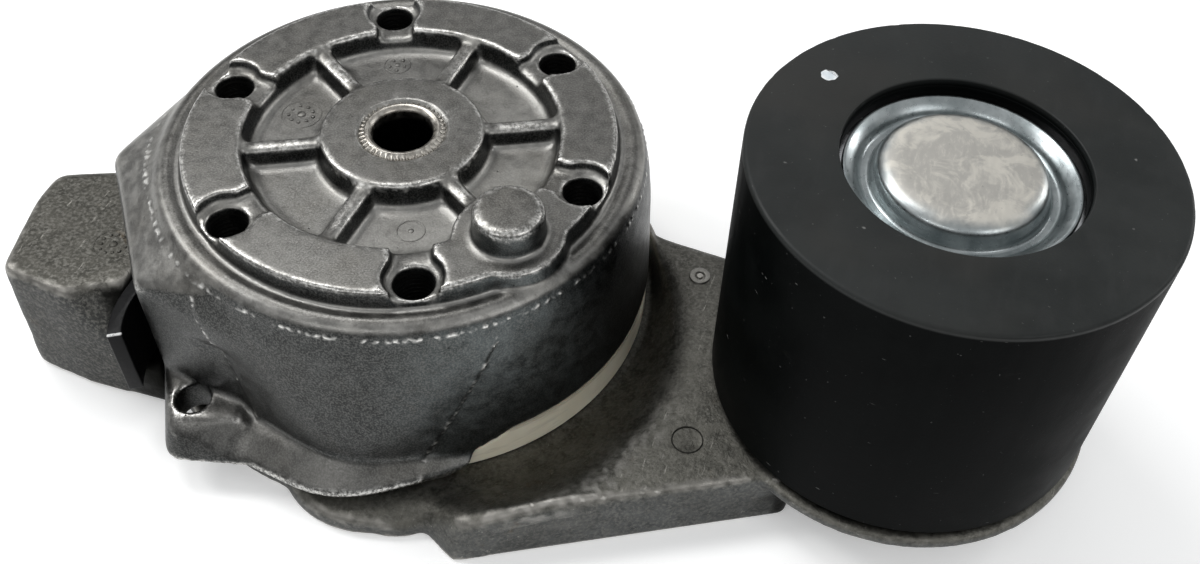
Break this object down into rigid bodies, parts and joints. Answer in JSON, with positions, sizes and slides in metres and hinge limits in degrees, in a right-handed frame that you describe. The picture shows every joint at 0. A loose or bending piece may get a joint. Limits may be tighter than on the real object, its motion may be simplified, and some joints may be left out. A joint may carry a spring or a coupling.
{
  "type": "belt tensioner",
  "caption": "Spring-loaded belt tensioner: a round spring case with a locating pin, a swinging cast arm and a smooth wide idler pulley on sealed ball bearings.",
  "frame": {"origin": "on the pivot axis, at the plane of the mounting face", "axes": "+Z out of the mounting face, +X along the arm to the pulley axis"},
  "size_m": [0.261, 0.1374, 0.0872],
  "materials": {
    "cast_case": "light die-cast aluminium, shot-blasted",
    "cast_arm": "dark rough die-cast aluminium",
    "plated_steel": "zinc-plated steel",
    "coated_spring": "glossy black coating",
    "nylon_ring": "natural cream nylon",
    "bush_bronze": "sintered bronze",
    "bearing_steel": "ground bearing steel",
    "dark_bolt": "black oxide steel",
    "cage_brass": "pressed brass",
    "pulley_black": "satin black glass-filled plastic",
    "seal_rubber": "black rubber",
    "zinc_cap": "bright zinc-plated pressed steel"
  },
  "bodies": {
    "case": {"spring_case": "cast_case", "pivot_tube": "plated_steel", "flat_spring": "coated_spring", "damping_ring": "nylon_ring", "upper_thrust_washer": "bush_bronze", "retaining_washer": "plated_steel"},
    "arm": {"tensioner_arm": "cast_arm", "upper_pivot_bush": "bush_bronze", "lower_pivot_bush": "bush_bronze", "bearing_spacer": "bearing_steel", "upper_inner_ring": "bearing_steel", "lower_inner_ring": "bearing_steel", "pulley_bolt": "dark_bolt", "bolt_washer": "plated_steel", "dust_shield": "plated_steel"},
    "cages": {"upper_balls": "bearing_steel", "lower_balls": "bearing_steel", "upper_cage": "cage_brass", "lower_cage": "cage_brass"},
    "pulley": {"pulley_shell": "pulley_black", "hub_insert": "bearing_steel", "upper_outer_ring": "bearing_steel", "lower_outer_ring": "bearing_steel", "upper_seals": "seal_rubber", "lower_seals": "seal_rubber", "retaining_ring": "dark_bolt", "dust_cap": "zinc_cap"}
  },
  "joints": [
    {"name": "arm_swing", "type": "hinge", "parent": "case", "child": "arm", "pos_m": [0, 0, -0.03], "axis": [0, 0, -1], "range_deg": [0, 30], "stiffness_Nm_per_rad": 30, "springref_deg": -45.84, "deforming": ["flat_spring"]},
    {"name": "pulley_spin", "type": "hinge", "parent": "arm", "child": "pulley", "pos_m": [0.124, 0, -0.0074], "axis": [0, 0, 1], "continuous": true},
    {"name": "cage_spin", "type": "hinge", "parent": "arm", "child": "cages", "pos_m": [0.124, 0, -0.0074], "axis": [0, 0, 1], "continuous": true}
  ],
  "couplings": [
    {"joint": "cage_spin", "follows": "pulley_spin", "ratio": 0.633}
  ]
}
